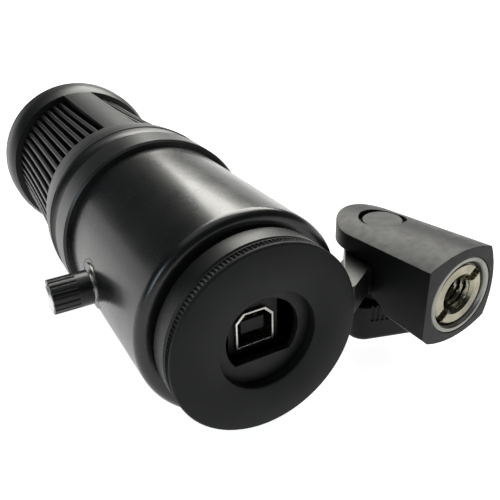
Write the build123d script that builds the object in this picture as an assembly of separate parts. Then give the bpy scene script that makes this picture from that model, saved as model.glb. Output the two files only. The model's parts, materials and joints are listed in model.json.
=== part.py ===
from build123d import *
import os
from math import cos, radians, sin

# A side-address USB microphone lying on its side, with the swivel that carries it on a stand.
# The model is built about the microphone's long axis: +Y runs from the ring nut at the rear to
# the head, +Z is up and +X is the side of the stand swivel. Y is measured from the ring nut's
# rear face. At the end everything is moved so that the origin is at the bottom centre.

# ---- Driving dimensions, in millimetres ----

# Body tube
TUBE_R = 25.0
TUBE_WALL = 2.0
TUBE_REAR = 9.8
TUBE_FRONT = 59.0
SHOULDER_R = 2.2

# Ring nut and the threaded stub that it runs on
NUT_R = 22.0
NUT_FLANGE = 3.0
NUT_HOLE_R = 11.45
NUT_FACE = 2.4
HUB_R = 18.0
HUB_END = 8.2
STUB_R = 16.2
STUB_BORE_R = 12.9
RUNNING_GAP = 0.06
STUB_FACE = 2.7
PLATE_THICKNESS = 1.5
STUB_OPENING_R = 8.7
STUB_CHORD = 5.6

# USB type B receptacle
USB_FACE = 6.0
USB_WIDTH = 9.15
USB_HEIGHT = 8.48
USB_SHELL = 0.4
USB_DEPTH = 14.0
USB_CORNER = 1.9
USB_HOUSING = 12.2
USB_CENTRE_Z = 0.0

# Head
TRIM_R = 26.8
RING_JOINT = 68.0
COLLAR_FRONT = 73.6
NECK_FRONT = 84.5
RIM_REAR = 131.5
RIM_FRONT = 142.6
CAP_SPIGOT_Y = 138.0
TOP = 147.0
STRIP_R = 25.4
FRAME_INNER_R = 22.5
STRIP_HALF_ANGLE = 10.75
BARS_PER_WINDOW = 25
BAR_PITCH = 6.15
BAR_WIDTH = 1.3
BAR_INNER_R = 21.7
BAR_REAR_R = 25.2
BAR_WAIST_R = 24.0
BAR_FRONT_R = 23.6
BAR_WAIST_Y = 110.0

# Capsule
CAPSULE_Y = 112.0
CAPSULE_R = 17.0
CAPSULE_HALF = 3.4
DIAPHRAGM_R = 13.0
LEAD_X = 3.1
LEAD_Z = 7.3

# Circuit board
BOARD_TOP = -5.8
BOARD_THICKNESS = 1.6
BOARD_REAR = 17.0
BOARD_FRONT = 53.2
RAIL_X = 17.5
RAIL_HALF = 2.0
SCREW_ROWS = (23.0, 49.0)

# Volume control, on the front side (-X)
KNOB_Y = 41.2
KNOB_R = 4.25
KNOB_INNER = 25.5
KNOB_OUTER = 34.8
KNOB_FLUTES = 18
SPOT_FACE = 24.3
SPOT_FACE_R = 5.8
BUSHING_R = 3.5
SHAFT_R = 3.0

# Stand collar and its tongue
COLLAR_REAR = 3.1
COLLAR_END = 8.5
COLLAR_BORE_R = HUB_R + RUNNING_GAP
TONGUE_HALF = 3.75
TONGUE_END_R = 9.2

# Swivel barrel, built about its pivot with the socket towards -Y, then turned by SWIVEL_ANGLE
PIVOT_X = 44.0
PIVOT_Y = 18.0
SWIVEL_ANGLE = 4.0
BARREL_REACH = 26.0
BARREL_LEFT = 11.5
BARREL_RIGHT = 10.9
BARREL_TOP = 12.1
TOP_TAPER = 0.062
LEFT_TAPER = 0.041
RIGHT_TAPER = 0.08
BOTTOM_TAPER = 0.05
SOCKET_Z = 0.4
FORK_HALF = 4.4
FORK_ROOT = 10.0
EAR_BOTTOM = -8.0
EAR_R = 10.0
UNDERCUT_REACH = 13.6
BOLT_R = 2.5
CAP_R = 5.2
CAP_RECESS_R = 6.0
CAP_TOP = 9.6
HEAD_SEAT = 6.2
HEAD_R = 4.9

# Threads: 5/8 inch socket ring, and the slotted 3/8 inch reducer inside it
INSERT_R = 9.6
ADAPTER_R = 7.93
INSERT_DEPTH = 11.0
STUD_HOLE_R = 4.0
ADAPTER_SLOT = 2.4
ADAPTER_TURN = 40.0

# Clamp knob under the pivot
CLAMP_HALF = 10.5
CLAMP_CORNER = 4.5
CLAMP_TURN = -21.0
CLAMP_TOP = -8.85
CLAMP_BOTTOM = -19.4
CLAMP_RIBS = 9
CLAMP_RIB_PITCH = 1.35
CLAMP_NUT_R = 4.0


# ---- Helpers ----

def turned(points):
    """Solid of revolution about the long axis, from its (radius, y) corners."""
    return revolve(Polygon(*points, align=None), Axis.Y)


def ring(inner, outer, low, high, edge=0.0):
    """Ring or disc about the long axis; edge is the chamfer on its outer corners."""
    if edge:
        outline = [(outer - edge, low), (outer, low + edge), (outer, high - edge), (outer - edge, high)]
    else:
        outline = [(outer, low), (outer, high)]
    return turned([(inner, low), *outline, (inner, high)])


def rod(start, direction, radius, length):
    """Cylinder from start along direction."""
    seat = Plane(origin=start, z_dir=direction)
    return seat * Cylinder(radius, length, align=(Align.CENTER, Align.CENTER, Align.MIN))


def slab(low, high):
    """Box between two opposite corners."""
    size = [b - a for a, b in zip(low, high)]
    middle = [(a + b) / 2 for a, b in zip(low, high)]
    return Pos(*middle) * Box(*size)


def around(angle):
    """Rotation about the long axis that carries +X to the given angle, measured towards +Z."""
    return Rot(0, -angle, 0)


def sector(points, centre, half_angle):
    """Part of a turned ring: its (radius, y) corners, swept half_angle each side of centre."""
    swept = revolve(Polygon(*points, align=None), Axis.Y, revolution_arc=2 * half_angle)
    return around(centre + half_angle) * swept


def on_swivel(shape):
    """Place a piece that was built about the pivot."""
    return Pos(PIVOT_X, PIVOT_Y, 0) * Rot(0, 0, SWIVEL_ANGLE) * shape


# ---- Body ----

def body_tube():
    inner = TUBE_R - TUBE_WALL
    wall_front = TUBE_REAR + TUBE_WALL
    shoulder_y = TUBE_REAR + SHOULDER_R
    bend = SHOULDER_R * (1 - cos(radians(45)))
    outline = Polyline((STUB_R + 0.1, TUBE_REAR), (TUBE_R - SHOULDER_R, TUBE_REAR))
    outline += ThreePointArc((TUBE_R - SHOULDER_R, TUBE_REAR), (TUBE_R - bend, TUBE_REAR + bend),
                             (TUBE_R, shoulder_y))
    outline += Polyline((TUBE_R, shoulder_y), (TUBE_R, TUBE_FRONT), (inner, TUBE_FRONT),
                        (inner, wall_front), (STUB_R + 0.1, wall_front), (STUB_R + 0.1, TUBE_REAR))
    tube = revolve(make_face(outline), Axis.Y)
    tube -= rod((-TUBE_R - 1, KNOB_Y, 0), (1, 0, 0), BUSHING_R + 0.1, 6)
    return tube - rod((-TUBE_R - 1, KNOB_Y, 0), (1, 0, 0), SPOT_FACE_R, TUBE_R + 1 - SPOT_FACE)


def base_plug():
    """Threaded stub, with the flange that holds it inside the tube."""
    flange_rear = TUBE_REAR + TUBE_WALL
    return turned([(STUB_BORE_R, STUB_FACE + PLATE_THICKNESS), (STUB_BORE_R, flange_rear + 2.5),
                   (22.9, flange_rear + 2.5), (22.9, flange_rear), (STUB_R, flange_rear),
                   (STUB_R, STUB_FACE + PLATE_THICKNESS)])


def usb_plate():
    """Face plate on the stub, with a D-shaped opening over the receptacle."""
    plate = ring(0, STUB_R, STUB_FACE, STUB_FACE + PLATE_THICKNESS, edge=0.3)
    opening = ring(0, STUB_OPENING_R, STUB_FACE - 1, STUB_FACE + PLATE_THICKNESS + 1)
    return plate - (opening - slab((-20, -5, -20), (20, 20, -STUB_CHORD)))


def base_screws():
    """Screws through the plug's flange, with their heads inside the tube."""
    seat = TUBE_REAR + TUBE_WALL + 2.5
    screws = []
    for angle in (30, 150, 270):
        at = (19.3 * cos(radians(angle)), seat, 19.3 * sin(radians(angle)))
        screws.append(rod(at, (0, 1, 0), 2.2, 1.6))
    return Compound(children=screws)


def head_ring():
    """Trim ring at the front of the tube, with the spigot that enters it."""
    return turned([(20.4, TUBE_FRONT - 5.5), (22.95, TUBE_FRONT - 5.5), (22.95, TUBE_FRONT),
                   (TRIM_R - 0.6, TUBE_FRONT), (TRIM_R, TUBE_FRONT + 0.6),
                   (TRIM_R, RING_JOINT - 0.5), (TRIM_R - 0.5, RING_JOINT), (20.4, RING_JOINT)])


def head_collar():
    """Hollowed ring between the trim ring and the neck."""
    outline = Polyline((20.4, COLLAR_FRONT), (20.4, RING_JOINT), (TRIM_R - 0.1, RING_JOINT))
    outline += ThreePointArc((TRIM_R - 0.1, RING_JOINT), (TRIM_R - 1.1, (RING_JOINT + COLLAR_FRONT) / 2),
                             (TRIM_R - 0.3, COLLAR_FRONT))
    outline += Line((TRIM_R - 0.3, COLLAR_FRONT), (20.4, COLLAR_FRONT))
    return revolve(make_face(outline), Axis.Y)


def bulkhead():
    """Disc between the tube and the head, with holes for the capsule's post and leads."""
    disc = ring(0, 20.35, 66.0, 69.0)
    disc -= rod((0, 65, 0), (0, 1, 0), 3.05, 6)
    for x in (-LEAD_X, LEAD_X):
        disc -= rod((x, 65, LEAD_Z), (0, 1, 0), 0.9, 6)
    return disc


# ---- Head ----

def head_frame():
    """Neck, the two side strips and the rim: one casting with two windows cut through it."""
    outline = Polyline((FRAME_INNER_R, COLLAR_FRONT), (TRIM_R - 0.4, COLLAR_FRONT),
                       (TRIM_R, COLLAR_FRONT + 0.4))
    outline += ThreePointArc((TRIM_R, COLLAR_FRONT + 0.4), (26.3, 79.6), (STRIP_R, NECK_FRONT))
    outline += Line((STRIP_R, NECK_FRONT), (STRIP_R, RIM_REAR))
    outline += ThreePointArc((STRIP_R, RIM_REAR), (26.35, 134.0), (TRIM_R, 137.5))
    outline += Polyline((TRIM_R, 137.5), (TRIM_R, RIM_FRONT - 1.0), (TRIM_R - 0.6, RIM_FRONT),
                        (FRAME_INNER_R, RIM_FRONT), (FRAME_INNER_R, COLLAR_FRONT))
    frame = revolve(make_face(outline), Axis.Y)
    window = [(FRAME_INNER_R - 1, NECK_FRONT), (TRIM_R + 1, NECK_FRONT), (TRIM_R + 1, RIM_REAR),
              (FRAME_INNER_R - 1, RIM_REAR)]
    for centre in (0, 180):
        frame -= sector(window, centre, 90 - STRIP_HALF_ANGLE)
    return frame


def grille(centre):
    """Bars of one window, joined by a hoop at each end behind the frame."""
    inner = BAR_INNER_R
    half_window = 90 - STRIP_HALF_ANGLE - 0.3
    rear, front = NECK_FRONT + 0.1, RIM_REAR - 0.1
    hoops = [[(inner, low), (FRAME_INNER_R - 0.1, low), (FRAME_INNER_R - 0.1, high), (inner, high)]
             for low, high in ((80.0, 87.0), (129.0, 136.0))]
    part = sector(hoops[0], centre, half_window) + sector(hoops[1], centre, half_window)
    outline = Polyline((inner, front), (inner, rear), (BAR_REAR_R, rear))
    outline += ThreePointArc((BAR_REAR_R, rear), (BAR_WAIST_R, BAR_WAIST_Y), (BAR_FRONT_R, front))
    outline += Line((BAR_FRONT_R, front), (inner, front))
    bar = extrude(make_face(outline), BAR_WIDTH / 2, both=True)
    middle = (BARS_PER_WINDOW - 1) / 2
    bars = [around(centre + (i - middle) * BAR_PITCH) * bar for i in range(BARS_PER_WINDOW)]
    return part.fuse(*bars)


def inner_mesh():
    return ring(21.1, 21.5, COLLAR_FRONT, CAP_SPIGOT_Y)


def foam_liner():
    return ring(19.7, 21.0, COLLAR_FRONT, CAP_SPIGOT_Y)


def top_cap():
    """Domed end cap with the spigot that enters the rim."""
    edge_r, edge_y = TRIM_R - 0.7, RIM_FRONT + 0.8
    dome_r, dome_y = 21.5, TOP - 1.0
    sphere_r = (dome_r ** 2 + (TOP - dome_y) ** 2) / (2 * (TOP - dome_y))
    half_way = (dome_r / 2, TOP - sphere_r + (sphere_r ** 2 - (dome_r / 2) ** 2) ** 0.5)
    outline = Polyline((0, RIM_FRONT), (19.6, RIM_FRONT), (19.6, CAP_SPIGOT_Y), (22.3, CAP_SPIGOT_Y),
                       (22.3, RIM_FRONT), (edge_r, RIM_FRONT), (edge_r, edge_y))
    outline += ThreePointArc((edge_r, edge_y), (24.6, 145.3), (dome_r, dome_y))
    outline += ThreePointArc((dome_r, dome_y), half_way, (0, TOP))
    outline += Line((0, TOP), (0, RIM_FRONT))
    return revolve(make_face(outline), Axis.Y)


# ---- Capsule ----

def across(inner, outer, low, high):
    """Ring about the capsule's own axis, between two x positions."""
    solid = rod((low, CAPSULE_Y, 0), (1, 0, 0), outer, high - low)
    if inner:
        solid -= rod((low - 1, CAPSULE_Y, 0), (1, 0, 0), inner, high - low + 2)
    return solid


def capsule_housing():
    return across(DIAPHRAGM_R + 0.4, CAPSULE_R, -CAPSULE_HALF, CAPSULE_HALF)


def capsule_backplate():
    """Drilled electrode behind the diaphragm."""
    plate = across(0, DIAPHRAGM_R + 0.4, -1.8, 2.6)
    for count, radius in ((6, 3.6), (12, 7.2), (18, 10.6)):
        for i in range(count):
            turn = radians(360 * i / count)
            at = (-3, CAPSULE_Y + radius * cos(turn), radius * sin(turn))
            plate -= rod(at, (1, 0, 0), 0.6, 3.2)
    return plate


def capsule_diaphragm():
    return across(0, DIAPHRAGM_R + 0.4, -2.2, -2.0)


def capsule_clamp_ring():
    return across(DIAPHRAGM_R, CAPSULE_R - 0.6, -CAPSULE_HALF - 1.0, -CAPSULE_HALF)


def capsule_screws():
    heads = []
    for i in range(8):
        turn = radians(45 * i + 22.5)
        at = (-CAPSULE_HALF - 1.0, CAPSULE_Y + 14.7 * cos(turn), 14.7 * sin(turn))
        heads.append(rod(at, (-1, 0, 0), 0.9, 0.7))
    return Compound(children=heads)


def capsule_saddle():
    """Cradle under the capsule, on the post that stands in the rubber isolator."""
    cradle = slab((-5.5, 90.0, -12.0), (5.5, 101.0, 12.0))
    cradle -= rod((-8, CAPSULE_Y, 0), (1, 0, 0), CAPSULE_R, 16)
    cradle -= slab((-7, 94.5, -14), (-4.5, 102, 14))
    cradle += rod((0, 66.0, 0), (0, 1, 0), 3.0, 24.5)
    for x in (-LEAD_X, LEAD_X):
        cradle -= rod((x, 88, LEAD_Z), (0, 1, 0), 0.7, 14)
    return cradle


def isolator():
    """Rubber bush around the post, on the bulkhead."""
    bush = turned([(3.0, 69.0), (7.0, 69.0), (7.0, 71.2), (5.6, 72.4), (5.6, 73.6), (7.0, 74.8),
                   (7.0, 77.0), (3.0, 77.0)])
    return bush


def capsule_leads():
    """Two insulated leads from the capsule, through the bulkhead and down to the board."""
    end = CAPSULE_Y - (CAPSULE_R ** 2 - LEAD_Z ** 2) ** 0.5
    leads = []
    for x in (-LEAD_X, LEAD_X):
        path = FilletPolyline((x, end, LEAD_Z), (x, 60.0, LEAD_Z), (x, 50.5, 0.0),
                              (x, 50.5, BOARD_TOP), radius=3.0)
        leads.append(sweep(Plane(origin=path @ 0, z_dir=path % 0) * Circle(0.5), path=path))
    return Compound(children=leads)


# ---- Electronics ----

def main_board():
    """Board along the tube; its narrow rear end carries the USB receptacle."""
    bottom = BOARD_TOP - BOARD_THICKNESS
    board = slab((-20.0, BOARD_REAR, bottom), (20.0, BOARD_FRONT, BOARD_TOP))
    board += slab((-9.0, 7.0, bottom), (9.0, BOARD_REAR + 1, BOARD_TOP))
    for x in (-RAIL_X, RAIL_X):
        for y in SCREW_ROWS:
            board -= rod((x, y, bottom - 1), (0, 0, 1), 1.25, 4)
    return board


def chassis_rails():
    """Rails between the base plug and the head ring, under the edges of the board."""
    top = BOARD_TOP - BOARD_THICKNESS
    rails = []
    for x in (-RAIL_X, RAIL_X):
        rail = slab((x - RAIL_HALF, 14.3, top - 3.2), (x + RAIL_HALF, 53.5, top))
        for y in SCREW_ROWS:
            rail -= rod((x, y, top + 1), (0, 0, -1), 1.25, 4)
        rails.append(rail)
    return Compound(children=rails)


def board_screws():
    screws = []
    for x in (-RAIL_X, RAIL_X):
        for y in SCREW_ROWS:
            shank = rod((x, y, BOARD_TOP), (0, 0, -1), 1.25, 4.2)
            screws.append(shank + rod((x, y, BOARD_TOP), (0, 0, 1), 2.2, 1.4))
    return Compound(children=screws)


def board_chips():
    """Converter, controller, regulator and crystal, standing on the board."""
    sizes = [((-6.0, 26.0), (9.0, 9.0, 1.2)), ((6.5, 30.0), (7.0, 7.0, 1.0)),
             ((8.0, 42.0), (4.0, 5.0, 1.6)), ((-5.0, 37.0), (3.2, 5.0, 1.1)),
             ((1.5, 45.0), (5.0, 4.2, 1.5))]
    chips = [slab((x - w / 2, y - d / 2, BOARD_TOP), (x + w / 2, y + d / 2, BOARD_TOP + h))
             for (x, y), (w, d, h) in sizes]
    return Compound(children=chips)


def board_capacitors():
    places = [(-10.0, 47.0, 2.5, 7.0), (11.0, 22.0, 3.1, 8.0), (9.0, 49.5, 2.5, 7.0)]
    return Compound(children=[rod((x, y, BOARD_TOP), (0, 0, 1), r, h) for x, y, r, h in places])


# ---- USB receptacle ----

def usb_outline(width, height):
    """Type B outline, with its two upper corners cut off."""
    x, z, cut = width / 2, height / 2, USB_CORNER
    return [(-x, -z), (x, -z), (x, z - cut), (x - cut, z), (cut - x, z), (-x, z - cut)]


def usb_prism(outline, rear, front):
    """Outline in x and z, extruded along the long axis."""
    face = Plane(origin=(0, rear, USB_CENTRE_Z), x_dir=(1, 0, 0), z_dir=(0, -1, 0)) \
        * Polygon(*outline, align=None)
    return extrude(face, front - rear, dir=(0, 1, 0))


def usb_shell():
    outer = usb_prism(usb_outline(USB_WIDTH, USB_HEIGHT), USB_FACE, USB_FACE + USB_DEPTH)
    inner = usb_outline(USB_WIDTH - 2 * USB_SHELL, USB_HEIGHT - 2 * USB_SHELL)
    return outer - usb_prism(inner, USB_FACE - 1, USB_FACE + USB_DEPTH + 1)


def usb_housing():
    """Moulded block around the shell, open at the front and closed at the back."""
    half = USB_HOUSING / 2
    floor = BOARD_TOP
    block = slab((-half, USB_FACE + 0.9, floor), (half, USB_FACE + USB_DEPTH + 1.5, 5.6))
    return block - usb_prism(usb_outline(USB_WIDTH, USB_HEIGHT), USB_FACE, USB_FACE + USB_DEPTH)


def usb_tongue():
    """Contact block in the middle of the socket."""
    x, z = 2.8, 1.6
    return slab((-x, USB_FACE + 1.2, -z), (x, USB_FACE + USB_DEPTH, z))


def usb_contacts():
    """Two contacts on each side of the tongue."""
    strips = []
    for x in (-1.25, 1.25):
        for low, high in ((1.6, 1.85), (-1.85, -1.6)):
            strips.append(slab((x - 0.5, USB_FACE + 2.0, low), (x + 0.5, USB_FACE + 11.0, high)))
    return Compound(children=strips)


# ---- Volume control ----

def pot_body():
    """Potentiometer case inside the tube, with its threaded bushing through the wall."""
    case = slab((-22.2, KNOB_Y - 5.2, -5.0), (-15.6, KNOB_Y + 5.2, 5.0))
    case += rod((-22.2, KNOB_Y, 0), (-1, 0, 0), BUSHING_R, 3.0)
    return case - rod((-21.2, KNOB_Y, 0), (-1, 0, 0), SHAFT_R + RUNNING_GAP, 5.0)


def knob_bezel():
    """Thin washer on the flat around the knob."""
    washer = rod((-SPOT_FACE, KNOB_Y, 0), (-1, 0, 0), SPOT_FACE_R - 0.1, 0.5)
    return washer - rod((-SPOT_FACE + 1, KNOB_Y, 0), (-1, 0, 0), BUSHING_R + 0.05, 3.0)


def pot_shaft():
    return rod((-21.5, KNOB_Y, 0), (-1, 0, 0), SHAFT_R, 11.5)


def volume_knob():
    """Slim knob with fine flutes on its outer part."""
    length = KNOB_OUTER - KNOB_INNER
    knob = rod((-KNOB_INNER, KNOB_Y, 0), (-1, 0, 0), KNOB_R, length)
    knob -= rod((-KNOB_INNER + 1, KNOB_Y, 0), (-1, 0, 0), SHAFT_R, 33.0 - KNOB_INNER + 1)
    knob -= rod((-KNOB_OUTER + 0.5, KNOB_Y, 0), (-1, 0, 0), 3.4, 2.0)
    for i in range(KNOB_FLUTES):
        turn = radians(360 * i / KNOB_FLUTES)
        at = (-KNOB_OUTER - 1, KNOB_Y + KNOB_R * cos(turn), KNOB_R * sin(turn))
        knob -= rod(at, (1, 0, 0), 0.25, 7.0)
    return knob


def knob_cap():
    """Bright domed disc in the end of the knob."""
    disc = rod((-KNOB_OUTER + 0.5, KNOB_Y, 0), (-1, 0, 0), 3.4, 1.1)
    return chamfer(disc.edges().group_by(Axis.X)[0], 0.45)


# ---- Stand collar ----

def ring_nut():
    """Knurled nut: its flange clamps the collar and its hub runs on the stub."""
    thread_r = STUB_R + RUNNING_GAP
    return turned([(NUT_HOLE_R + 0.3, 0), (NUT_R - 0.4, 0), (NUT_R, 0.4), (NUT_R, NUT_FLANGE - 0.4),
                   (NUT_R - 0.4, NUT_FLANGE), (HUB_R, NUT_FLANGE), (HUB_R, HUB_END),
                   (thread_r, HUB_END), (thread_r, NUT_FACE), (NUT_HOLE_R, NUT_FACE),
                   (NUT_HOLE_R, 0.3)])


def friction_washer():
    """Rubber washer between the collar and the tube's end wall."""
    return ring(HUB_R + 0.5, NUT_R - 1.2, COLLAR_END + 0.05, TUBE_REAR)


def mount_collar():
    """Band around the nut's hub, with the tongue that carries the swivel."""
    band = ring(0, NUT_R, COLLAR_REAR, COLLAR_END, edge=0.4)
    arm = Polygon((20.0, COLLAR_REAR + 0.4), (24.5, COLLAR_REAR + 0.4), (33.0, PIVOT_Y - TONGUE_END_R),
                  (PIVOT_X, PIVOT_Y - TONGUE_END_R), (PIVOT_X, PIVOT_Y + TONGUE_END_R), (38.0, 25.0),
                  (27.0, 10.5), (24.0, COLLAR_END - 0.4), (20.0, COLLAR_END - 0.4), align=None)
    tongue = extrude(arm, TONGUE_HALF, both=True)
    tongue += Pos(PIVOT_X, PIVOT_Y, 0) * Cylinder(TONGUE_END_R, 2 * TONGUE_HALF)
    tongue -= Pos(PIVOT_X, PIVOT_Y, 0) * Cylinder(BOLT_R + RUNNING_GAP, 4 * TONGUE_HALF)
    return band + tongue - ring(0, COLLAR_BORE_R, COLLAR_REAR - 1, COLLAR_END + 1)


# ---- Swivel, built about its pivot ----

def barrel_section(back):
    """Cross-section this far back from the socket face; the top and the bottom draw together."""
    top, right_top, low = back * TOP_TAPER, back * RIGHT_TAPER, back * BOTTOM_TAPER
    left, right = -BARREL_LEFT, BARREL_RIGHT
    outline = Line((left, low - 7.3), (left, 9.8 - back * LEFT_TAPER))
    outline += ThreePointArc((left, 9.8 - back * LEFT_TAPER), (-1.0, BARREL_TOP - top),
                             (8.4, 10.5 - right_top))
    outline += ThreePointArc((8.4, 10.5 - right_top), (right, 0.0), (9.4, low - 8.2))
    outline += ThreePointArc((9.4, low - 8.2), (0.0, low - 10.8), (-9.6, low - 9.2))
    outline += Line((-9.6, low - 9.2), (left, low - 7.3))
    seat = Plane(origin=(0, back - BARREL_REACH, 0), x_dir=(1, 0, 0), z_dir=(0, -1, 0))
    return seat * make_face(outline)


def upright(radius, low, high):
    """Cylinder about the pivot."""
    return Pos(0, 0, (low + high) / 2) * Cylinder(radius, high - low)


def swivel_barrel():
    """Tapered barrel: socket at one end, fork at the other, cut away below for the clamp knob."""
    length = BARREL_REACH + BARREL_LEFT
    blank = loft([barrel_section(0), barrel_section(length)], ruled=True)
    keep = slab((-20, -40, -20), (20, 0, 20)) + upright(BARREL_LEFT, -20, 20)
    barrel = blank & keep
    barrel -= slab((-20, -FORK_ROOT, -FORK_HALF), (20, 20, FORK_HALF))
    hollow = Polygon((-UNDERCUT_REACH, -5.4), (-FORK_ROOT + 0.5, -3.6), (20, -3.6), (20, -20),
                     (-UNDERCUT_REACH, -20), align=None)
    below = extrude(Plane.YZ * hollow, 20, both=True)
    ear = upright(EAR_R, EAR_BOTTOM, -FORK_HALF)
    ear += slab((-7.5, -UNDERCUT_REACH - 0.5, EAR_BOTTOM), (7.5, 0, -FORK_HALF))
    barrel = barrel - below + ear
    barrel -= upright(BOLT_R + 0.05, -20, 20)
    barrel -= upright(HEAD_R, HEAD_SEAT, 20)
    barrel -= upright(CAP_RECESS_R, CAP_TOP - 1.0, 20)
    face = -BARREL_REACH
    barrel -= rod((0, face - 1, SOCKET_Z), (0, 1, 0), INSERT_R, INSERT_DEPTH + 1)
    return barrel - rod((0, face, SOCKET_Z), (0, 1, 0), 4.6, INSERT_DEPTH + 2.2)


def thread_insert():
    """Die-cast ring with the 5/8 inch thread, pressed into the barrel."""
    face = -BARREL_REACH
    sleeve = rod((0, face, SOCKET_Z), (0, 1, 0), INSERT_R, INSERT_DEPTH)
    return sleeve - rod((0, face - 1, SOCKET_Z), (0, 1, 0), ADAPTER_R + RUNNING_GAP, INSERT_DEPTH + 2)


def thread_adapter():
    """Reducer bush: 5/8 inch outside, 3/8 inch hole, and a coin slot across its face."""
    face = -BARREL_REACH + 0.6
    length = INSERT_DEPTH - 1.4
    bush = rod((0, face, 0), (0, 1, 0), ADAPTER_R, length)
    bush -= rod((0, face - 1, 0), (0, 1, 0), STUD_HOLE_R, length + 2)
    half = ADAPTER_SLOT / 2
    slot = slab((-ADAPTER_R - 1, face - 1, -half), (ADAPTER_R + 1, face + 1.6, half))
    return Pos(0, 0, SOCKET_Z) * (bush - around(ADAPTER_TURN) * slot)


def pivot_bolt():
    """Bolt through both ears and the tongue, with its head under the cap."""
    head = extrude(Plane.XY.offset(HEAD_SEAT) * RegularPolygon(HEAD_R - 0.1, 6), 2.3)
    return head + upright(BOLT_R, CLAMP_BOTTOM + 3.0, HEAD_SEAT)


def pivot_cap():
    cap = upright(CAP_R, CAP_TOP - 1.0, CAP_TOP)
    return chamfer(cap.edges().group_by(Axis.Z)[-1], 0.3)


def tilt_washers():
    """Nylon washers on both faces of the tongue."""
    rings = []
    for side in (-1, 1):
        low, high = sorted((side * (TONGUE_HALF + 0.05), side * FORK_HALF))
        rings.append(upright(8.6, low, high) - upright(BOLT_R + 0.05, low - 1, high + 1))
    return Compound(children=rings)


def clamp_washer():
    return upright(6.0, CLAMP_TOP + 0.05, EAR_BOTTOM) - upright(BOLT_R + 0.05, -20, 0)


def clamp_knob():
    """Rounded square knob with a band of fine ribs on each side."""
    height = CLAMP_TOP - CLAMP_BOTTOM
    outline = RectangleRounded(2 * CLAMP_HALF, 2 * CLAMP_HALF, CLAMP_CORNER)
    knob = extrude(Plane.XY.offset(CLAMP_BOTTOM) * outline, height)
    knob = fillet(knob.edges().group_by(Axis.Z)[0], 1.5)
    knob = chamfer(knob.edges().group_by(Axis.Z)[-1], 0.5)
    for side in range(4):
        for i in range(CLAMP_RIBS):
            x = (i - (CLAMP_RIBS - 1) / 2) * CLAMP_RIB_PITCH
            groove = Pos(x, CLAMP_HALF + 0.15, CLAMP_TOP - 2.0) * Cylinder(0.5, 5.0)
            knob -= Rot(0, 0, 90 * side) * groove
    knob -= upright(CLAMP_NUT_R, CLAMP_BOTTOM + 2.5, 0)
    return Rot(0, 0, CLAMP_TURN) * knob


def clamp_nut():
    """Brass nut moulded into the clamp knob."""
    nut = upright(CLAMP_NUT_R, CLAMP_BOTTOM + 2.5, CLAMP_TOP)
    return nut - upright(BOLT_R + RUNNING_GAP, CLAMP_BOTTOM, 0)


# ---- Assembly ----

def build():
    """Every node of the microphone, in its final place."""
    fixed = [body_tube, base_plug, usb_plate, base_screws, head_ring, head_collar, bulkhead, head_frame,
             inner_mesh, foam_liner, top_cap, capsule_housing, capsule_backplate,
             capsule_diaphragm, capsule_clamp_ring, capsule_screws, capsule_saddle, isolator,
             capsule_leads, main_board, chassis_rails, board_screws, board_chips,
             board_capacitors, usb_shell, usb_housing, usb_tongue, usb_contacts, pot_body,
             knob_bezel, pot_shaft, volume_knob, knob_cap, ring_nut, friction_washer, mount_collar]
    hinged = [swivel_barrel, thread_insert, thread_adapter, pivot_bolt, pivot_cap, tilt_washers,
              clamp_washer, clamp_knob, clamp_nut]
    nodes = {make.__name__: make() for make in fixed}
    nodes["front_grille"] = grille(180)
    nodes["rear_grille"] = grille(0)
    nodes.update({make.__name__: on_swivel(make()) for make in hinged})
    return nodes


def to_origin(nodes):
    """Shift from the construction axes to the bottom centre of the whole object."""
    boxes = [shape.bounding_box() for shape in nodes.values()]
    low = [min(getattr(box.min, axis) for box in boxes) for axis in "XYZ"]
    high = [max(getattr(box.max, axis) for box in boxes) for axis in "XYZ"]
    return Vector(-(low[0] + high[0]) / 2, -(low[1] + high[1]) / 2, -low[2])


def main():
    os.makedirs("parts", exist_ok=True)
    nodes = build()
    shift = to_origin(nodes)
    for name, shape in nodes.items():
        export_step(Pos(shift) * shape, f"parts/{name}.step")
    print("shift", shift)


if __name__ == "__main__":
    main()
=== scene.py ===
import json
import math

import bmesh
import bpy
from mathutils import Matrix, Vector

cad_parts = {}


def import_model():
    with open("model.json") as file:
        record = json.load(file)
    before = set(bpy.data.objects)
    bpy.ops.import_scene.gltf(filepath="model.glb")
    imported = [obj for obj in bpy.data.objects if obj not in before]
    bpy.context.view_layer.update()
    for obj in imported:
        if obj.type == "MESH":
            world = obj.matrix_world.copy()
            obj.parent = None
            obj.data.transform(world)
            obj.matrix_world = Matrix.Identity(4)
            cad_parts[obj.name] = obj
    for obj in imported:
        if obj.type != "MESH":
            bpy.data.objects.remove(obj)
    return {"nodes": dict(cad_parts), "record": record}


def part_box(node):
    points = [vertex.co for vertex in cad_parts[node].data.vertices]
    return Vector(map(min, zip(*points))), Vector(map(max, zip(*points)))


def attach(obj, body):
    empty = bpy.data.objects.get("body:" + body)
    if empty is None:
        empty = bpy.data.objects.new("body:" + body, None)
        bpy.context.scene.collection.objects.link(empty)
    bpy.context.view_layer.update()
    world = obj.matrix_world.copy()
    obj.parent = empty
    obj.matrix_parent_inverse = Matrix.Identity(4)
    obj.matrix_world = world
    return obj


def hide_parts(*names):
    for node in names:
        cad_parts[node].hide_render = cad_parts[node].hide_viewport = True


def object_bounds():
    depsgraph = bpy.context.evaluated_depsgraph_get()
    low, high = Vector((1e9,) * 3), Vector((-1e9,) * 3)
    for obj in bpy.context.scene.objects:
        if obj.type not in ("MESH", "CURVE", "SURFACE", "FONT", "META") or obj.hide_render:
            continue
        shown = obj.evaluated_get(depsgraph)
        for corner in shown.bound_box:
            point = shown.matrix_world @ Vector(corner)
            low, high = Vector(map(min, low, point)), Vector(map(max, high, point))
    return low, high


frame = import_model()
cad_box = [list(corner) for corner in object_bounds()]

MM = 0.001

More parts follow.
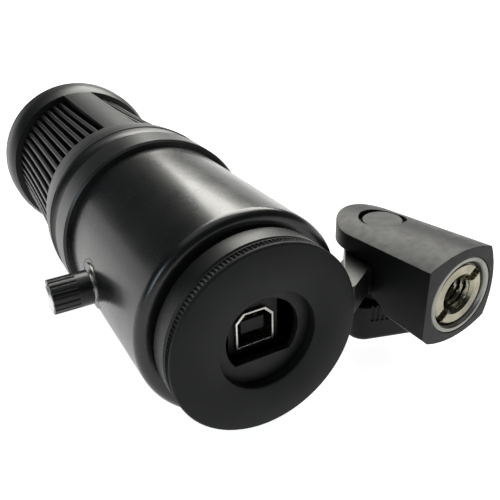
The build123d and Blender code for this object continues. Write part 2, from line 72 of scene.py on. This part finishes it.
# The camera, in millimetres and directions on the microphone's own axis.
CAMERA_EYE = (-51.874, -87.251, 74.539)
CAMERA_LOOK = (0.42586, 0.77641, -0.46458)
CAMERA_UP = (0.24592, 0.39481, 0.88524)
CAMERA_LENS = 43.77
CAMERA_SENSOR = 36.0

# Sizes of the added pieces, in millimetres unless the name says otherwise.
KNURL_TEETH = 150
KNURL_DEPTH = 0.42
NUT_SEGMENTS = 1200
BARS_PER_SIDE = 25
BAR_PITCH_DEGREES = 6.15
BAR_HALF_WIDTH = 0.62
BAR_CORNER = 0.42
BAR_INNER_R = 21.75
BAR_REAR, BAR_FRONT = 84.6, 131.4
BAR_STATIONS = 18
HOOP_OUTER_R = 22.35
HOOP_SPANS = ((80.2, 86.8), (129.2, 135.8))
HOOP_REACH_DEGREES = 78.0
HOOP_STEPS = 60
WEAVE_R = 21.3
WEAVE_WAVE = 0.1
WEAVE_ROWS, WEAVE_COLUMNS = 64, 150
WIRE_R = 0.1
STUD_PITCH = 1.5875
ADAPTER_PITCH = 0.94
COIN_SLOT_DEGREES = 40.0
COIN_SLOT_DEPTH = 1.6
MARK_R = 6.6
MARK_STEPS = 28
MARK_LEVELS = (24.9, 25.03)
FLOOR_HALF = 7.0
FLOOR_FLAT_R = 2.0
FLOOR_SWEEP = 0.035


# ---- Where things are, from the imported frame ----

def span(node, axis):
    low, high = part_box(node)
    return low[axis], high[axis]


tube_low, tube_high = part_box("body_tube")
AXIS_X = (tube_low[0] + tube_high[0]) / 2
AXIS_Z = (tube_low[2] + tube_high[2]) / 2
REAR_Y = span("ring_nut", 1)[0]
ORIGIN = Vector((AXIS_X, REAR_Y, AXIS_Z))
joints = {joint["name"]: joint for joint in frame["record"]["behaviour"]["joints"]}
mounts = {mount["name"]: mount for mount in frame["record"]["mounts"]}
SOCKET = Vector(mounts["stand_thread"]["pos_m"])
SOCKET_AXIS = Vector(mounts["stand_thread"]["axis"]).normalized()


def on_axis(x, y, z):
    """A point given in millimetres from the ring nut's rear face on the microphone's axis."""
    return ORIGIN + Vector((x, y, z)) * MM


# ---- Materials ----

class Nodes:
    """A new node material with a Principled shader, and short calls to build on it."""

    def __init__(self, name, **sockets):
        self.material = bpy.data.materials.new(name)
        self.material.use_nodes = True
        self.tree = self.material.node_tree
        self.shader = self.tree.nodes["Principled BSDF"]
        for socket, value in sockets.items():
            self.shader.inputs[socket.replace("_", " ")].default_value = value
        self.coords = self.node("ShaderNodeTexCoord").outputs["Object"]
        self.normal = None

    def node(self, kind, **settings):
        node = self.tree.nodes.new(kind)
        for name, value in settings.items():
            setattr(node, name, value)
        return node

    def link(self, output, target):
        self.tree.links.new(output, target)

    def noise(self, scale, detail=4.0, stretch=(1, 1, 1), roughness=0.55):
        mapping = self.node("ShaderNodeMapping")
        mapping.inputs["Scale"].default_value = stretch
        self.link(self.coords, mapping.inputs["Vector"])
        noise = self.node("ShaderNodeTexNoise")
        noise.inputs["Scale"].default_value = scale
        noise.inputs["Detail"].default_value = detail
        noise.inputs["Roughness"].default_value = roughness
        self.link(mapping.outputs["Vector"], noise.inputs["Vector"])
        return noise.outputs["Fac"]

    def ramp(self, value, stops):
        ramp = self.node("ShaderNodeValToRGB")
        elements = ramp.color_ramp.elements
        while len(elements) < len(stops):
            elements.new(0.5)
        for element, (position, colour) in zip(elements, stops):
            element.position = position
            element.color = (*colour, 1.0)
        self.link(value, ramp.inputs["Fac"])
        return ramp.outputs["Color"]

    def grey_range(self, value, low, high, start=0.3, end=0.7):
        spread = self.node("ShaderNodeMapRange")
        spread.inputs["From Min"].default_value = start
        spread.inputs["From Max"].default_value = end
        spread.inputs["To Min"].default_value = low
        spread.inputs["To Max"].default_value = high
        self.link(value, spread.inputs["Value"])
        return spread.outputs["Result"]

    def mix(self, factor, first, second, blend="MIX"):
        mix = self.node("ShaderNodeMix", data_type="RGBA", blend_type=blend)
        self.put(factor, mix.inputs["Factor"])
        colours = [socket for socket in mix.inputs if socket.type == "RGBA"]
        self.put(first, colours[0])
        self.put(second, colours[1])
        return next(socket for socket in mix.outputs if socket.type == "RGBA")

    def put(self, value, target):
        if isinstance(value, bpy.types.NodeSocket):
            self.link(value, target)
        elif isinstance(value, tuple) and len(value) == 3:
            target.default_value = (*value, 1.0)
        else:
            target.default_value = value

    def bump(self, height, strength, distance):
        bump = self.node("ShaderNodeBump")
        bump.inputs["Strength"].default_value = strength
        bump.inputs["Distance"].default_value = distance
        self.link(height, bump.inputs["Height"])
        if self.normal is not None:
            self.link(self.normal, bump.inputs["Normal"])
        self.normal = bump.outputs["Normal"]
        self.link(self.normal, self.shader.inputs["Normal"])

    def soften(self, radius):
        """Rounds sharp edges in the shading."""
        bevel = self.node("ShaderNodeBevel", samples=4)
        bevel.inputs["Radius"].default_value = radius
        self.normal = bevel.outputs["Normal"]
        self.link(self.normal, self.shader.inputs["Normal"])

    def edge_mask(self, radius, width=0.12):
        """Near 1 along convex edges and 0 elsewhere."""
        bevel = self.node("ShaderNodeBevel", samples=4)
        bevel.inputs["Radius"].default_value = radius
        geometry = self.node("ShaderNodeNewGeometry")
        dot = self.node("ShaderNodeVectorMath", operation="DOT_PRODUCT")
        self.link(bevel.outputs["Normal"], dot.inputs[0])
        self.link(geometry.outputs["Normal"], dot.inputs[1])
        return self.grey_range(dot.outputs["Value"], 1.0, 0.0, 1.0 - width, 1.0 - width / 4)

    def colour(self, value):
        self.put(value, self.shader.inputs["Base Color"])

    def roughness(self, value):
        self.put(value, self.shader.inputs["Roughness"])


def shade(value, tint=(1.0, 1.0, 1.0)):
    return tuple(value * part for part in tint)


def coated_metal(name, dark, light, rough, coat, grain=0.0, tint=(0.95, 1.0, 1.03), edge=0.0,
                 specular=0.5):
    """Black paint or lacquer on metal: uneven gloss, faint specks, and a painted highlight along convex
    edges.
    """
    m = Nodes(name, IOR=1.5, Coat_Weight=coat, Coat_Roughness=0.12, Specular_IOR_Level=specular)
    m.soften(0.15 * MM)
    cloud = m.noise(60.0, 5.0)
    colour = m.ramp(cloud, [(0.35, shade(dark, tint)), (0.65, shade(light, tint))])
    # A lighter colour along convex edges: a painted highlight standing in for light caught by the rims.
    if edge:
        edge_highlight = m.edge_mask(0.35 * MM)
        colour = m.mix(edge_highlight, colour, shade(edge, tint))
    m.colour(colour)
    m.roughness(m.grey_range(m.noise(140.0, 3.0), rough - 0.02, rough + 0.03))
    if grain:
        m.bump(m.noise(grain, 3.0), 0.22, 0.05 * MM)
    m.bump(m.noise(25.0, 1.0), 0.01, 0.2 * MM)
    return m.material


def moulded_plastic(name, dark, light, rough, grain, tint=(0.96, 1.0, 1.02), edge=0.0,
                    specular=0.25):
    """Injection-moulded plastic with a fine spark-eroded grain, and a painted highlight along convex
    edges when edge is set.
    """
    m = Nodes(name, IOR=1.49, Specular_IOR_Level=specular)
    m.soften(0.3 * MM)
    base = m.ramp(m.noise(45.0, 4.0), [(0.3, shade(dark, tint)), (0.7, shade(light, tint))])
    # A lighter colour along convex edges: a painted highlight standing in for light caught by the rims.
    if edge:
        base = m.mix(m.edge_mask(0.5 * MM), base, shade(edge, tint))
    m.colour(base)
    m.roughness(m.grey_range(m.noise(500.0, 3.0), rough - 0.06, rough + 0.06))
    m.bump(m.noise(grain, 2.0), 0.18, 0.04 * MM)
    m.bump(m.noise(18.0, 1.0), 0.015, 0.25 * MM)
    return m.material


def bare_metal(name, dark, light, rough, stretch):
    """Turned, plated or cast metal with fine machining lines and slight staining."""
    m = Nodes(name, Metallic=1.0)
    m.soften(0.12 * MM)
    stain = m.noise(120.0, 5.0)
    m.colour(m.ramp(stain, [(0.3, dark), (0.68, light)]))
    lines = m.noise(300.0, 3.0, stretch)
    m.roughness(m.grey_range(lines, rough - 0.06, rough + 0.1))
    m.bump(lines, 0.12, 0.03 * MM)
    return m.material


ALONG = (1, 14, 1)
materials = {
    # The edge values are the colours of painted highlights along convex edges.
    "black_lacquer": coated_metal("black_lacquer", 0.004, 0.006, 0.27, 0.1, edge=0.012, specular=0.4),
    "black_trim": coated_metal("black_trim", 0.004, 0.006, 0.34, 0.0, edge=0.015, specular=0.35),
    "black_casting": coated_metal("black_casting", 0.004, 0.006, 0.38, 0.0, grain=1500.0, edge=0.012,
                                  specular=0.3),
    "matte_black_metal": coated_metal("matte_black_metal", 0.006, 0.009, 0.5, 0.0, grain=2500.0,
                                      edge=0.02, specular=0.13),
    "black_plastic": moulded_plastic("black_plastic", 0.003, 0.005, 0.4, 2600.0, edge=0.01,
                                     specular=0.15),
    "knob_plastic": moulded_plastic("knob_plastic", 0.004, 0.006, 0.3, 2600.0, specular=0.35),
    "dark_plastic": moulded_plastic("dark_plastic", 0.004, 0.006, 0.5, 1800.0),
    "grey_plastic": moulded_plastic("grey_plastic", 0.012, 0.018, 0.5, 1800.0),
    "nylon": moulded_plastic("nylon", 0.006, 0.01, 0.4, 1200.0),
    "rubber": moulded_plastic("rubber", 0.005, 0.007, 0.7, 900.0),
    "chip_black": moulded_plastic("chip_black", 0.01, 0.014, 0.55, 3000.0),
    "lead_insulation": moulded_plastic("lead_insulation", 0.4, 0.5, 0.4, 900.0, (1.0, 0.1, 0.08)),
    "board_black": moulded_plastic("board_black", 0.006, 0.012, 0.35, 600.0, (0.9, 1.0, 0.9)),
    "foam": moulded_plastic("foam", 0.003, 0.005, 0.95, 700.0),
    "dark_mesh": coated_metal("dark_mesh", 0.004, 0.007, 0.5, 0.0, grain=1600.0),
    "nickel": bare_metal("nickel", (0.36, 0.35, 0.32), (0.6, 0.59, 0.54), 0.25, ALONG),
    "pale_gold": bare_metal("pale_gold", (0.13, 0.125, 0.09), (0.34, 0.32, 0.24), 0.2, (1, 1, 1)),
    "brass": bare_metal("brass", (0.55, 0.42, 0.18), (0.75, 0.6, 0.3), 0.28, ALONG),
    "zinc": bare_metal("zinc", (0.17, 0.17, 0.155), (0.27, 0.27, 0.25), 0.4, (1, 1, 1)),
    "steel": bare_metal("steel", (0.45, 0.45, 0.44), (0.6, 0.6, 0.58), 0.3, (1, 1, 1)),
    "aluminium": bare_metal("aluminium", (0.6, 0.6, 0.6), (0.75, 0.75, 0.76), 0.35, ALONG),
    "silver_cap": bare_metal("silver_cap", (0.62, 0.62, 0.61), (0.85, 0.85, 0.84), 0.32, (20, 1, 1)),
    "gold_film": bare_metal("gold_film", (0.75, 0.55, 0.2), (0.9, 0.72, 0.35), 0.15, (1, 1, 1)),
    # Two that no slot of the record names.
    "print": moulded_plastic("print", 0.16, 0.22, 0.5, 1200.0, (1.0, 1.0, 0.98)),
    "dull_nickel": bare_metal("dull_nickel", (0.05, 0.05, 0.05), (0.16, 0.16, 0.15), 0.35, ALONG),
}
slot_of = {part["node"]: part["material_slot"] for part in frame["record"]["subparts"]}


def paint(obj, slot):
    obj.data.materials.clear()
    obj.data.materials.append(materials[slot])


for name, obj in frame["nodes"].items():
    paint(obj, slot_of[name])
paint(frame["nodes"]["knob_bezel"], "dull_nickel")


# ---- Mesh building ----

def add_mesh(name, bm, body, slot, replaced=(), crease=32.0):
    """Turns a bmesh into a piece that rides on a body, smooth except at its creases."""
    bmesh.ops.recalc_face_normals(bm, faces=bm.faces)
    for face in bm.faces:
        face.smooth = True
    for edge in bm.edges:
        if len(edge.link_faces) == 2 and edge.calc_face_angle(0.0) > math.radians(crease):
            edge.smooth = False
    mesh = bpy.data.meshes.new(name)
    bm.to_mesh(mesh)
    bm.free()
    obj = bpy.data.objects.new(name, mesh)
    bpy.context.collection.objects.link(obj)
    mesh.materials.append(materials[slot])
    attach(obj, body)
    if replaced:
        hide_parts(*replaced)


def axis_frame(origin, direction):
    """Matrix whose Y column runs along direction, from origin."""
    y = Vector(direction).normalized()
    x = y.cross(Vector((0, 0, 1))).normalized()
    z = x.cross(y)
    return Matrix(((x.x, y.x, z.x, origin[0]), (x.y, y.y, z.y, origin[1]),
                   (x.z, y.z, z.z, origin[2]), (0, 0, 0, 1)))


def lathe(bm, place, profile, segments, shape):
    """Revolves a closed outline of (radius, y) points about the Y axis of place; shape moves each one."""
    rings = []
    for i in range(segments):
        turn = 2 * math.pi * i / segments
        row = []
        for radius, y in profile:
            r, h = shape(radius, y, turn)
            point = Vector((r * math.cos(turn), h, r * math.sin(turn))) * MM
            row.append(bm.verts.new(place @ point))
        rings.append(row)
    for i in range(segments):
        here, there = rings[i], rings[(i + 1) % segments]
        for j in range(len(profile)):
            k = (j + 1) % len(profile)
            bm.faces.new((here[j], there[j], there[k], here[k]))


def skin(bm, rows, loop=False):
    """Joins rows of vertices into a tube, which meets its own start if loop is set."""
    for first, second in zip(rows, rows[1:] + rows[:1] if loop else rows[1:]):
        for j in range(len(first)):
            k = (j + 1) % len(first)
            bm.faces.new((first[j], first[k], second[k], second[j]))


def cap(bm, rows):
    """Closes both ends of a tube."""
    bm.faces.new(rows[0])
    bm.faces.new(list(reversed(rows[-1])))


def finely(points, step):
    """The same outline with extra points, so that no run is longer than step."""
    fine = []
    for (r0, y0), (r1, y1) in zip(points, points[1:] + points[:1]):
        pieces = max(1, math.ceil(math.hypot(r1 - r0, y1 - y0) / step))
        fine += [(r0 + (r1 - r0) * i / pieces, y0 + (y1 - y0) * i / pieces) for i in range(pieces)]
    return fine


def tooth(value):
    """Triangle wave between 0 and 1."""
    value = value % 1.0
    return 2 * value if value < 0.5 else 2 - 2 * value


# ---- Ring nut, with its knurled edge ----

def ring_nut():
    """The whole nut, from (radius, height above its rear face), with notches across its edge."""
    low, high = span("ring_nut", 1)
    outer = (span("ring_nut", 0)[1] - span("ring_nut", 0)[0]) / 2 / MM
    depth = (high - low) / MM
    outline = [(11.75, 0.0), (21.55, 0.0), (21.7, 0.06), (outer, 0.42), (outer, 0.75), (outer, 0.8),
               (outer, 2.35), (outer, 2.4), (outer, 2.62), (21.7, 2.95), (21.5, 3.0), (18.0, 3.0),
               (18.0, depth), (16.3, depth), (16.3, 2.4), (11.5, 2.4), (11.45, 2.3), (11.45, 0.25)]

    def knurl(radius, y, turn):
        if 0.78 < y < 2.38 and radius > 21.9:
            return radius - KNURL_DEPTH * (1 - tooth(turn / (2 * math.pi) * KNURL_TEETH)) ** 0.8, y
        return radius, y

    bm = bmesh.new()
    lathe(bm, axis_frame(ORIGIN, (0, 1, 0)), outline, NUT_SEGMENTS, knurl)
    add_mesh("knurled_ring_nut", bm, "ring_nut", "matte_black_metal", ["ring_nut"], 40.0)


# ---- Head grille: rounded bars that narrow towards their waist ----

def bar(bm, angle):
    """One bar; its back is flat and its outer corners are round."""
    rows = []
    out = Vector((math.cos(angle), 0, math.sin(angle)))
    across = Vector((-math.sin(angle), 0, math.cos(angle)))
    for i in range(BAR_STATIONS + 1):
        t = i / BAR_STATIONS
        y = BAR_REAR + (BAR_FRONT - BAR_REAR) * t
        rows.append([bm.verts.new(ORIGIN + (out * level + across * offset + Vector((0, y, 0))) * MM)
                     for offset, level in bar_section(bar_top(y))])
    skin(bm, rows)
    cap(bm, rows)


def bar_top(y):
    """Outer radius of a bar: concave between its two ends."""
    (y0, r0), (y1, r1), (y2, r2) = (84.5, 25.2), (110.0, 24.0), (131.5, 23.6)
    first = (y - y1) * (y - y2) / ((y0 - y1) * (y0 - y2)) * r0
    second = (y - y0) * (y - y2) / ((y1 - y0) * (y1 - y2)) * r1
    return first + second + (y - y0) * (y - y1) / ((y2 - y0) * (y2 - y1)) * r2


def bar_section(top):
    """(sideways, outwards) points of a bar's section, in order."""
    points = [(-BAR_HALF_WIDTH, BAR_INNER_R), (-BAR_HALF_WIDTH, top - BAR_CORNER)]
    for centre, turns in ((-BAR_HALF_WIDTH + BAR_CORNER, (150, 120, 90)),
                          (BAR_HALF_WIDTH - BAR_CORNER, (90, 60, 30, 0))):
        for turn in turns:
            angle = math.radians(turn)
            points.append((centre + BAR_CORNER * math.cos(angle),
                           top - BAR_CORNER + BAR_CORNER * math.sin(angle)))
    points.append((BAR_HALF_WIDTH, BAR_INNER_R))
    return points


def grilles():
    for node, centre in (("front_grille", 180.0), ("rear_grille", 0.0)):
        bm = bmesh.new()
        for i in range(BARS_PER_SIDE):
            bar(bm, math.radians(centre + (i - BARS_PER_SIDE // 2) * BAR_PITCH_DEGREES))
        for low, high in HOOP_SPANS:
            hoop(bm, centre, low, high)
        add_mesh(node + "_bars", bm, "microphone", "black_casting", [node], 40.0)


def hoop(bm, centre, low, high):
    """Part of a ring behind the frame, which joins the ends of the bars."""
    rows = []
    for i in range(HOOP_STEPS + 1):
        angle = math.radians(centre - HOOP_REACH_DEGREES + 2 * HOOP_REACH_DEGREES * i / HOOP_STEPS)
        out = Vector((math.cos(angle), 0, math.sin(angle)))
        rows.append([bm.verts.new(ORIGIN + (out * r + Vector((0, y, 0))) * MM)
                     for r, y in ((BAR_INNER_R, low), (HOOP_OUTER_R, low), (HOOP_OUTER_R, high),
                                  (BAR_INNER_R, high))])
    skin(bm, rows)
    cap(bm, rows)


def wire_mesh():
    """Woven wire sleeve behind the bars: wires along the axis, then wires around it."""
    low, high = (value - REAR_Y for value in span("inner_mesh", 1))
    bm = bmesh.new()
    for along in (True, False):
        steps = WEAVE_ROWS * 2 if along else WEAVE_COLUMNS
        for i in range(WEAVE_COLUMNS if along else WEAVE_ROWS):
            points = []
            for j in range(steps + 1 if along else steps):
                if along:
                    turn = 2 * math.pi * i / WEAVE_COLUMNS
                    y = low / MM + (high - low) / MM * j / steps
                    lift = WEAVE_WAVE * math.cos(math.pi * (j + i))
                else:
                    turn = 2 * math.pi * j / steps
                    y = low / MM + (high - low) / MM * (i + 0.5) / WEAVE_ROWS
                    lift = -WEAVE_WAVE * math.cos(math.pi * (j + i))
                r = WEAVE_R + lift
                points.append(ORIGIN + Vector((r * math.cos(turn), y, r * math.sin(turn))) * MM)
            wire(bm, points, WIRE_R * MM, not along)
    add_mesh("woven_mesh", bm, "microphone", "dark_mesh", ["inner_mesh"], 60.0)


def wire(bm, points, radius, loop):
    """Three-sided wire along points."""
    rows = []
    count = len(points)
    for i, point in enumerate(points):
        ahead = points[(i + 1) % count] if loop else points[min(i + 1, count - 1)]
        behind = points[i - 1] if loop or i else points[0]
        along = (ahead - behind).normalized()
        out = Vector((point.x - ORIGIN.x, 0, point.z - ORIGIN.z)).normalized()
        side = along.cross(out).normalized()
        rows.append([bm.verts.new(point + (out * math.cos(a) + side * math.sin(a)) * radius)
                     for a in (0.0, 2.0944, 4.18879)])
    skin(bm, rows, loop)


# ---- Stand socket: threaded ring and slotted reducer ----

socket_axis = axis_frame(SOCKET, -SOCKET_AXIS)


def thread(turn, y, pitch):
    """Height of a thread between 0 at its root and 1 at its crest."""
    return tooth(y / pitch + turn / (2 * math.pi))


def reducer():
    """Bright reducer bush with a coin slot, threaded inside and out."""
    length = mounts["stand_thread"]["dims"]["length_mm"]
    outline = finely([(5.1, 0.0), (7.2, 0.0), (7.7, 0.35), (7.9, 0.7), (7.9, length), (4.3, length),
                      (4.3, 0.9)], 0.28)
    slot_turn = math.radians(COIN_SLOT_DEGREES)

    def shape(radius, y, turn):
        aside = abs(radius * math.sin(turn - slot_turn))
        if aside < 1.15 and y < COIN_SLOT_DEPTH:
            y = COIN_SLOT_DEPTH
        elif aside < 1.3 and y < COIN_SLOT_DEPTH:
            y = max(y, 0.12)
        if radius < 4.4 and y > 0.35:
            radius = 4.05 + 0.5 * thread(turn, y, STUD_PITCH)
        elif radius > 7.8 and y > 0.7:
            radius = 7.9 - 0.3 * thread(turn, y, ADAPTER_PITCH)
        return radius, y

    bm = bmesh.new()
    lathe(bm, socket_axis, outline, 240, shape)
    add_mesh("slotted_reducer", bm, "adapter", "pale_gold", ["thread_adapter"], 30.0)


def socket_ring():
    """Die-cast ring: bevelled mouth, then the start of its inner thread."""
    outline = finely([(8.5, -0.6), (9.25, -0.6), (9.58, -0.35), (9.58, 10.3), (8.05, 10.3),
                      (8.05, 0.4), (8.2, -0.2)], 0.3)

    def shape(radius, y, turn):
        if radius < 8.15 and y > 0.2:
            radius = 8.02 + 0.12 * thread(turn, y, ADAPTER_PITCH)
        return radius, y

    bm = bmesh.new()
    lathe(bm, socket_axis, outline, 160, shape)
    add_mesh("socket_ring", bm, "swivel", "zinc", ["thread_insert"], 35.0)


# ---- Printed wedge beside the volume knob ----

def volume_mark():
    """A thin printed arc beside the knob that widens as it goes."""
    knob = Vector(joints["volume_turn"]["pos_m"]) - ORIGIN
    under, over = MARK_LEVELS
    bm = bmesh.new()
    rows = []
    for i in range(MARK_STEPS + 1):
        t = i / MARK_STEPS
        angle = math.radians(20.0 + 75.0 * t)
        width = 0.1 + 0.4 * t
        row = []
        for radius, level in ((MARK_R - width / 2, under), (MARK_R - width / 2, over),
                              (MARK_R + width / 2, over), (MARK_R + width / 2, under)):
            y = knob.y / MM + radius * math.cos(angle)
            z = radius * math.sin(angle)
            x = -math.sqrt(level ** 2 - z ** 2)
            row.append(bm.verts.new(ORIGIN + Vector((x, y, z)) * MM))
        rows.append(row)
    skin(bm, rows)
    cap(bm, rows)
    add_mesh("volume_mark", bm, "microphone", "print")


ring_nut()
grilles()
wire_mesh()
reducer()
socket_ring()
volume_mark()


# ---- Floor, lights and camera ----

def floor():
    """A pale floor that sweeps up gently far behind the object."""
    mesh = bpy.data.meshes.new("studio_floor")
    bm = bmesh.new()
    bmesh.ops.create_grid(bm, x_segments=80, y_segments=80, size=FLOOR_HALF)
    for vert in bm.verts:
        beyond = max(0.0, math.hypot(vert.co.x, vert.co.y) - FLOOR_FLAT_R)
        vert.co.z = FLOOR_SWEEP * beyond ** 2
    bm.to_mesh(mesh)
    bm.free()
    obj = bpy.data.objects.new("studio_floor", mesh)
    obj.location = (0, 0, cad_box[0][2] - 0.0002)
    bpy.context.collection.objects.link(obj)
    m = Nodes("studio_floor", Specular_IOR_Level=0.05, Emission_Strength=0.95)
    m.shader.inputs["Emission Color"].default_value = (1.0, 1.0, 1.0, 1.0)
    m.colour(m.ramp(m.noise(3.0, 2.0), [(0.3, (0.34, 0.34, 0.34)), (0.7, (0.38, 0.38, 0.38))]))
    m.roughness(0.9)
    mesh.materials.append(m.material)


def area_light(name, position, target, size, power, colour=(1, 1, 1)):
    """A rectangular softbox that faces the target."""
    data = bpy.data.lights.new(name, "AREA")
    data.shape = "RECTANGLE"
    data.size, data.size_y = size
    data.energy = power
    data.color = colour
    obj = bpy.data.objects.new(name, data)
    obj.location = position
    obj.rotation_euler = (Vector(target) - Vector(position)).to_track_quat("-Z", "Y").to_euler()
    bpy.context.collection.objects.link(obj)


def lights():
    middle = (0, 0, 0.03)
    area_light("overhead", (0.42, 0.5, 0.75), middle, (0.8, 0.8), 19.0, (1.0, 0.99, 0.94))
    area_light("left_window", (-0.85, -0.35, 0.42), middle, (0.3, 0.4), 2.0, (0.8, 0.92, 1.0))
    area_light("wide_ceiling", (0.0, 0.2, 2.2), middle, (2.4, 2.4), 14.0)


def world():
    backdrop = bpy.data.worlds.new("studio")
    backdrop.use_nodes = True
    background = backdrop.node_tree.nodes["Background"]
    background.inputs["Color"].default_value = (0.9, 0.95, 1.0, 1.0)
    background.inputs["Strength"].default_value = 0.05
    bpy.context.scene.world = backdrop


def camera():
    data = bpy.data.cameras.new("camera")
    data.lens = CAMERA_LENS
    data.sensor_width = CAMERA_SENSOR
    data.clip_start = 0.01
    obj = bpy.data.objects.new("camera", data)
    look = Vector(CAMERA_LOOK).normalized()
    up = Vector(CAMERA_UP)
    right = look.cross(up).normalized()
    up = right.cross(look)
    eye = on_axis(*CAMERA_EYE)
    obj.matrix_world = Matrix((
        (right.x, up.x, -look.x, eye.x),
        (right.y, up.y, -look.y, eye.y),
        (right.z, up.z, -look.z, eye.z),
        (0, 0, 0, 1),
    ))
    bpy.context.collection.objects.link(obj)
    bpy.context.scene.camera = obj


floor()
lights()
world()
camera()
bpy.context.scene.view_settings.view_transform = "Standard"
